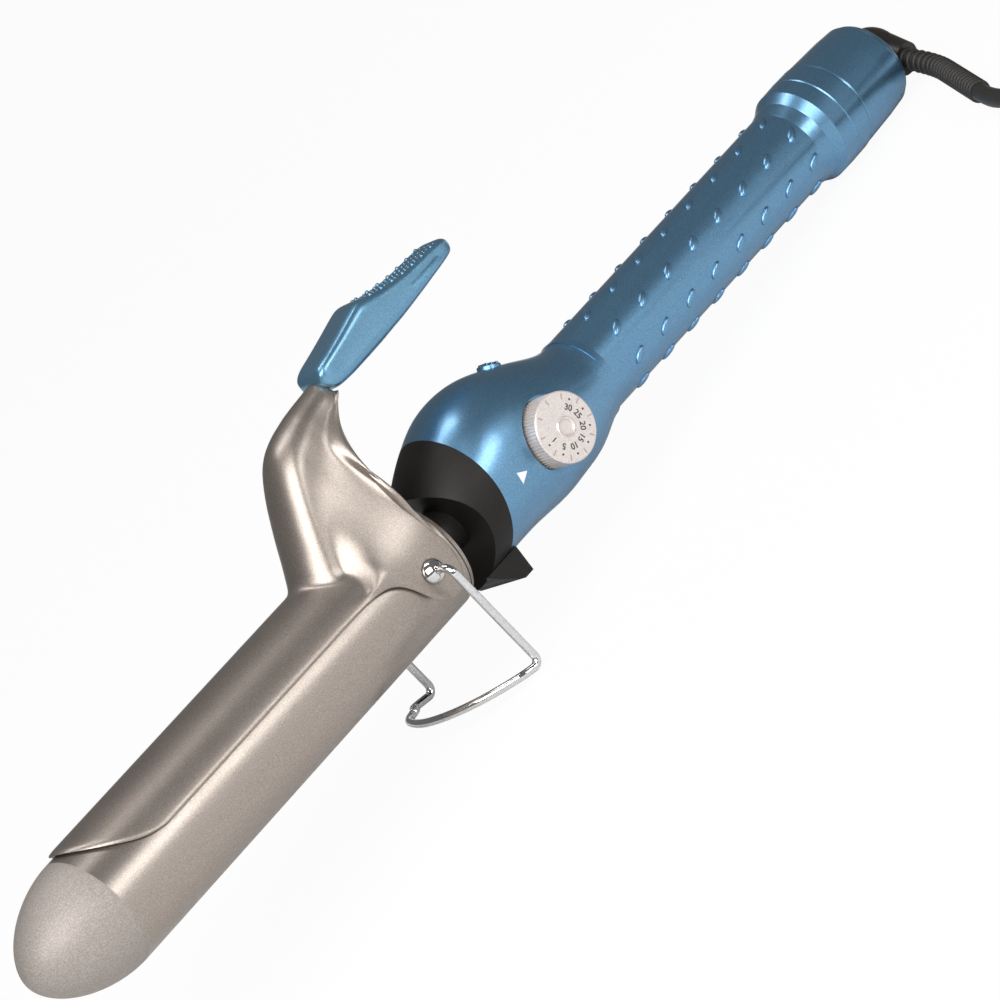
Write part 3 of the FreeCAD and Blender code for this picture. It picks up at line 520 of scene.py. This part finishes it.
def tab_top(x):
    for first, second in zip(TAB_STATIONS, TAB_STATIONS[1:]):
        if first[0] <= x <= second[0]:
            f = (x - first[0]) / (second[0] - first[0])
            return first[1] + (second[1] - first[1]) * f
    return TAB_STATIONS[-1][1]


# ---- Dial ------------------------------------------------------------------------------------------

DIAL_X = 41.6
DIAL_Z = 1.1
DIAL_R = 9.2
DIAL_FACE_Y = -22.6
DIAL_BACK_Y = -15.3
DIAL_RIBS = 32
DIAL_MARKS = ["1", "5", "10", "15", "20", "25", "30"]
MARK_STEP = 36.0
MARK_START = 180.0


def on_dial(radius, angle, y):
    turn = math.radians(angle)
    return Vector((DIAL_X + radius * math.cos(turn), y, DIAL_Z + radius * math.sin(turn))) * MM


def make_dial():
    depth = DIAL_FACE_Y - DIAL_BACK_Y
    middle = (DIAL_X * MM, (DIAL_FACE_Y + DIAL_BACK_Y) / 2 * MM, DIAL_Z * MM)
    deselect()
    bpy.ops.mesh.primitive_cylinder_add(vertices=DIAL_RIBS * 2, radius=DIAL_R * MM, depth=abs(depth) * MM,
                                        location=middle, rotation=(math.pi / 2, 0, 0))
    dial = bpy.context.object
    bpy.ops.object.transform_apply(location=True, rotation=True, scale=True)
    bpy.ops.object.mode_set(mode="EDIT")
    bpy.ops.mesh.select_all(action="DESELECT")
    bpy.ops.object.mode_set(mode="OBJECT")
    for face in dial.data.polygons:
        face.select = face.normal.y < -0.9
    bpy.ops.object.mode_set(mode="EDIT")
    bpy.ops.mesh.inset(thickness=0.35 * MM)
    bpy.ops.transform.translate(value=(0, -0.25 * MM, 0))
    bpy.ops.mesh.inset(thickness=6.0 * MM)
    bpy.ops.mesh.inset(thickness=0.35 * MM)
    bpy.ops.transform.translate(value=(0, -0.35 * MM, 0))
    bpy.ops.mesh.inset(thickness=0.5 * MM)
    bpy.ops.transform.translate(value=(0, 0.35 * MM, 0))
    bpy.ops.object.mode_set(mode="OBJECT")
    centre = Vector((DIAL_X * MM, 0, DIAL_Z * MM))
    for face in dial.data.polygons:
        flat = Vector((face.center.x, 0, face.center.z)) - centre
        turn = math.degrees(math.atan2(flat.z, flat.x)) % 360
        wall = abs(face.normal.y) < 0.2 and flat.length > 0.95 * DIAL_R * MM
        face.select = wall and int(turn / (180 / DIAL_RIBS)) % 2 == 0
    bpy.ops.object.mode_set(mode="EDIT")
    bpy.ops.mesh.select_mode(type="FACE")
    bpy.ops.mesh.inset(use_individual=True, thickness=0.10 * MM, depth=-0.35 * MM)
    bpy.ops.object.mode_set(mode="OBJECT")
    smooth(dial, 25)
    finish_piece(dial, "dial_ribbed", "dial", pearl_paint, "dial_silver", "dial_knob", "dial_cap")

    prints = []
    face_y = DIAL_FACE_Y - 0.27
    for i, mark in enumerate(DIAL_MARKS):
        angle = MARK_START + i * MARK_STEP
        bpy.ops.object.text_add()
        text = bpy.context.object
        text.data.body = mark
        text.data.align_x = "CENTER"
        text.data.align_y = "CENTER"
        text.data.size = 2.3 * MM
        text.data.extrude = 0.03 * MM
        text.data.offset = 0.03 * MM
        text.location = on_dial(5.0, angle, face_y)
        text.rotation_euler = (math.pi / 2, math.radians(-angle + 90), 0)
        bpy.ops.object.convert(target="MESH")
        prints.append(bpy.context.object)
        bpy.ops.mesh.primitive_cylinder_add(vertices=12, radius=0.28 * MM, depth=0.08 * MM,
                                            location=on_dial(7.2, angle, face_y),
                                            rotation=(math.pi / 2, 0, 0))
        prints.append(bpy.context.object)
    for part in prints:
        only(part)
        bpy.ops.object.transform_apply(location=True, rotation=True, scale=True)
    marks = join(prints)
    finish_piece(marks, "dial_marks", "dial", black_ink, None)

    # Radial grey strips between the numbers: painted shade in place of cut notches.
    notches = []
    for i in range(10):
        angle = MARK_START + 18 + i * 36.0
        bpy.ops.mesh.primitive_cube_add(size=1.0, location=on_dial(7.8, angle, face_y),
                                        rotation=(0, -math.radians(angle), 0))
        notch = bpy.context.object
        notch.scale = (1.5 * MM, 0.10 * MM, 0.35 * MM)
        bpy.ops.object.transform_apply(location=True, rotation=True, scale=True)
        notches.append(notch)
    lines = join(notches)
    finish_piece(lines, "dial_notches", "dial", notch_painted_shade, None)


# ---- Grip bumps, relief ribs, index mark, button ------------------------------------------------------

GRIP_ROWS = 8
GRIP_PER_ROW = 8
GRIP_FIRST_X = 80.3
GRIP_STEP = 11.6
GRIP_FIRST_ANGLE = 71.0
OVAL_LONG = 2.6
OVAL_SHORT = 1.15
OVAL_HIGH = 0.75
OVAL_SLANT = 35.0


def make_grip_bumps():
    """Raised slanted ovals in rows around the grip."""
    bumps = []
    for row in range(GRIP_ROWS):
        around = GRIP_FIRST_ANGLE - row * 360.0 / GRIP_ROWS
        turn = math.radians(around)
        for i in range(GRIP_PER_ROW):
            x = GRIP_FIRST_X + GRIP_STEP * i
            bpy.ops.mesh.primitive_uv_sphere_add(segments=14, ring_count=8, radius=1.0)
            bump = bpy.context.object
            bump.scale = (OVAL_LONG * MM, OVAL_SHORT * MM, OVAL_HIGH * MM)
            bpy.ops.object.transform_apply(scale=True)
            bump.rotation_euler = (0, 0, math.radians(OVAL_SLANT))
            bpy.ops.object.transform_apply(rotation=True)
            bump.rotation_euler = (math.pi / 2 - turn, 0, 0)
            bump.location = (x * MM, -GRIP_R * math.cos(turn) * MM, GRIP_R * math.sin(turn) * MM)
            bpy.ops.object.transform_apply(location=True, rotation=True, scale=True)
            bpy.ops.object.shade_smooth()
            bumps.append(bump)
    bumps = join(bumps)
    finish_piece(bumps, "grip_bumps", "root", blue_lacquer, "blue_body")


def relief_line():
    """The line of the strain relief: out of the dome, a bend, then along the table."""
    heading = Vector((-0.056, -0.90, -0.428)).normalized()
    lay = Vector((-0.547, -0.835, -0.062)).normalized()
    centre = Vector((209.4, 0, 0))
    start = centre + heading * 4.5
    corner = centre + heading * 20.5
    cut = 9.6
    points = [start]
    for i in range(9):
        f = i / 8
        a = (corner - heading * cut).lerp(corner, f)
        b = corner.lerp(corner + lay * cut, f)
        points.append(a.lerp(b, f))
    points.append(corner + lay * 44.0)
    return points


RELIEF_RIB_STEP = 2.5
RELIEF_CORE_R = 2.55
RELIEF_RIB_R = 0.62


def make_relief():
    """A ribbed rubber boot: a core with rings close beside each other."""
    data = bpy.data.curves.new("relief_core", "CURVE")
    data.dimensions = "3D"
    spline = data.splines.new("POLY")
    points = relief_line()
    spline.points.add(len(points) - 1)
    for slot, point in zip(spline.points, points):
        slot.co = (*(point * MM), 1.0)
    data.bevel_depth = RELIEF_CORE_R * MM
    data.bevel_resolution = 4
    data.use_fill_caps = True
    core = bpy.data.objects.new("relief_core", data)
    bpy.context.scene.collection.objects.link(core)
    only(core)
    bpy.ops.object.convert(target="MESH")
    core = bpy.context.object
    bpy.ops.object.shade_smooth()
    parts = [core]
    travelled = 0.0
    next_rib = 6.0
    for a, b in zip(points, points[1:]):
        run = (b - a).length
        while next_rib <= travelled + run:
            place = a.lerp(b, (next_rib - travelled) / run)
            bpy.ops.mesh.primitive_torus_add(major_segments=28, minor_segments=8,
                                             major_radius=(RELIEF_CORE_R - 0.05) * MM,
                                             minor_radius=RELIEF_RIB_R * MM, location=place * MM,
                                             rotation=(b - a).to_track_quat("Z", "Y").to_euler())
            rib = bpy.context.object
            bpy.ops.object.transform_apply(location=True, rotation=True, scale=True)
            bpy.ops.object.shade_smooth()
            parts.append(rib)
            next_rib += RELIEF_RIB_STEP
        travelled += run
    relief = join(parts)
    return finish_piece(relief, "strain_relief_ribbed", "swivel", black_pvc, "lead_black", "strain_relief")


def make_index_mark():
    """A small printed triangle on the body, pointing at the dial."""
    shell = NODES["body_shell_dial_side"]
    away = IRON.to_3x3() @ Vector((0, 1, 0))
    corners = []
    for x, z in ((24.6, 1.3), (24.6, -2.1), (27.6, -0.4)):
        origin = IRON @ (Vector((x, -40.0, z)) * MM)
        hit, place, normal, index = shell.ray_cast(origin, away)
        corners.append(place + normal * 0.06 * MM)
    bpy.ops.mesh.primitive_circle_add(vertices=3, radius=2.0 * MM, fill_type="NGON")
    mark = bpy.context.object
    for vertex, corner in zip(mark.data.vertices, corners):
        vertex.co = corner
    add_modifier(mark, "SOLIDIFY", thickness=0.05 * MM, offset=0.0)
    apply_modifiers(mark)
    finish_piece(mark, "index_mark", "root", white_ink, None, on_iron=False)


BUTTON_X = 49.5
BUTTON_TILT = 30.0
BUTTON_SURFACE_Z = 19.4


def make_button():
    """A round button with three ridges across its top."""
    tilt = math.radians(BUTTON_TILT)
    out = Vector((math.sin(tilt), 0, math.cos(tilt)))
    surface = Vector((BUTTON_X, 0, BUTTON_SURFACE_Z))
    bpy.ops.mesh.primitive_cylinder_add(vertices=40, radius=3.15 * MM, depth=5.4 * MM,
                                        location=(surface - out * 1.6) * MM, rotation=(0, tilt, 0))
    button = bpy.context.object
    bpy.ops.object.transform_apply(location=True, rotation=True, scale=True)
    add_modifier(button, "BEVEL", width=0.4 * MM, segments=3)
    apply_modifiers(button)
    parts = [button]
    along = Vector((math.cos(tilt), 0, -math.sin(tilt)))
    for i in (-1, 0, 1):
        bpy.ops.mesh.primitive_cube_add(size=1.0, location=(surface + out * 1.15 + along * 1.6 * i) * MM,
                                        rotation=(0, tilt, 0))
        ridge = bpy.context.object
        ridge.scale = (0.7 * MM, 3.9 * MM, 0.9 * MM)
        bpy.ops.object.transform_apply(location=True, rotation=True, scale=True)
        add_modifier(ridge, "BEVEL", width=0.25 * MM, segments=2)
        apply_modifiers(ridge)
        parts.append(ridge)
    button = join(parts)
    smooth(button, 30)
    finish_piece(button, "boost_button_ridged", "button", blue_lacquer, "blue_body", "boost_button")

make_clip()
make_tab()
make_dial()
make_grip_bumps()
make_index_mark()
make_button()


# ---- Mains lead --------------------------------------------------------------------------------
# A round flexible lead with a moulded two-blade plug, wound into ten turns in two layers.

CORD_R = 2.5
LEAD_ROUTE = [(152.29, -55.22, 3.28), (145.68, -65.24, 3.22), (143.5, -75.8, 2.9), (145.0, -86.6, 2.8),
              (150.2, -96.2, 2.7), (158.4, -103.4, 2.6), (168.6, -107.2, 2.6), (200.0, -108.6, 2.7)]
TAIL_ROUTE = [(274.3, -58.0, 7.9), (272.5, -41.0, 7.0), (265.5, -25.0, 7.3), (253.0, -12.0, 7.5)]
COIL_CENTRE = (234.0, -68.0)
COIL_BASE = 1.0
COIL_START = -88.0
COIL_OUTER = 40.0
COIL_INNER = 20.0
TURNS_PER_LAYER = 5
POINTS_PER_TURN = 16


def coil_points():
    """Turns wind inwards on the lower layer, then outwards on the upper one."""
    points = []
    half = TURNS_PER_LAYER * POINTS_PER_TURN
    total = 2 * half
    for i in range(total - 1):
        layer = 0 if i < half else 1
        along = (i if layer == 0 else i - half) / POINTS_PER_TURN
        first, last = (COIL_OUTER, COIL_INNER) if layer == 0 else (COIL_INNER, COIL_OUTER)
        radius = first + (last - first) * min(1.0, max(0.0, (along - 0.1) / (TURNS_PER_LAYER - 0.2)))
        climb = min(1.0, max(0.0, (i - half + 6) / 12))
        height = COIL_BASE + CORD_R + 2 * CORD_R * climb
        angle = math.radians(COIL_START + 360.0 * i / POINTS_PER_TURN)
        x = COIL_CENTRE[0] + radius * math.cos(angle)
        y = COIL_CENTRE[1] + radius * math.sin(angle)
        points.append((x, y, height))
    return points


def make_route(points):
    """One smooth spline through the route's points, in metres."""
    data = bpy.data.curves.new("lead_route", "CURVE")
    data.dimensions = "3D"
    spline = data.splines.new("NURBS")
    spline.points.add(len(points) - 1)
    for slot, point in zip(spline.points, points):
        slot.co = (*[c * MM for c in point], 1.0)
    spline.order_u = 3
    spline.use_endpoint_u = True
    spline.resolution_u = 5
    data.use_fill_caps = True
    curve = bpy.data.objects.new("mains_lead", data)
    bpy.context.scene.collection.objects.link(curve)
    return curve


def make_lead():
    curve = make_route(LEAD_ROUTE + coil_points() + TAIL_ROUTE)
    line = bpy.data.meshes.new_from_object(curve)
    curve.data.bevel_depth = CORD_R * MM
    curve.data.bevel_resolution = 3
    only(curve)
    bpy.ops.object.convert(target="MESH")
    lead = bpy.context.object
    bpy.ops.object.shade_smooth()
    lead.data.materials.clear()
    lead.data.materials.append(black_pvc)
    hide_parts("cord_lead", "cord_coil", "cord_tail")
    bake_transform(lead)
    pieces_on_it = [NODES["plug_body"], NODES["plug_blades"], NODES["coil_tie"], make_relief()]


make_lead()


# ---- Light, floor ---------------------------------------------------------------------------------

FLOOR_GLOW = 0.94
ROOM_LIGHT = 0.16


def make_floor():
    """A pale floor that shows white to the eye and keeps the iron's shadow."""
    bpy.ops.mesh.primitive_plane_add(size=6.0)
    floor = bpy.context.object
    floor.name = "floor"
    material, tree, shader = new_material("white_floor")
    shader.inputs["Base Color"].default_value = colour("e6e6e6")
    shader.inputs["Roughness"].default_value = 0.9
    light_path = add_node(tree, "ShaderNodeLightPath")
    part = add_node(tree, "ShaderNodeMath", {"operation": "MULTIPLY"})
    tree.links.new(light_path.outputs["Is Camera Ray"], part.inputs[0])
    part.inputs[1].default_value = FLOOR_GLOW
    glow = add_node(tree, "ShaderNodeEmission", {"Strength": 1.0})
    mix = add_node(tree, "ShaderNodeMixShader", Fac=part.outputs[0])
    tree.links.new(shader.outputs["BSDF"], mix.inputs[1])
    tree.links.new(glow.outputs["Emission"], mix.inputs[2])
    tree.links.new(mix.outputs["Shader"], tree.nodes["Material Output"].inputs["Surface"])
    floor.data.materials.append(material)


def make_world():
    world = bpy.data.worlds.new("studio")
    bpy.context.scene.world = world
    world.use_nodes = True
    tree = world.node_tree
    background = tree.nodes["Background"]
    light_path = add_node(tree, "ShaderNodeLightPath")
    strength = add_node(tree, "ShaderNodeMapRange", {"To Min": ROOM_LIGHT, "To Max": 1.0},
                        Value=light_path.outputs["Is Camera Ray"])
    tree.links.new(strength.outputs["Result"], background.inputs["Strength"])
    background.inputs["Color"].default_value = (1, 1, 1, 1)


def add_lamp(name, place, aim, size, watts):
    bpy.ops.object.light_add(type="AREA", location=place)
    lamp = bpy.context.object
    lamp.name = name
    lamp.data.shape = "RECTANGLE"
    lamp.data.size = size[0]
    lamp.data.size_y = size[1]
    lamp.data.energy = watts
    lamp.rotation_euler = (Vector(aim) - Vector(place)).to_track_quat("-Z", "Y").to_euler()


make_floor()
make_world()
# Panels on the camera's side: their reflections are the light bands along barrel and handle.
add_lamp("key", (-0.75, -0.80, 0.90), (0.0, 0.0, 0.03), (1.4, 1.0), 24.0)
add_lamp("fill", (0.35, -1.1, 0.35), (0.0, 0.0, 0.03), (0.5, 0.4), 3.5)
add_lamp("top", (0.1, 0.1, 1.2), (0.0, 0.0, 0.03), (0.9, 0.25), 4.0)

bpy.context.scene.view_settings.view_transform = "Standard"
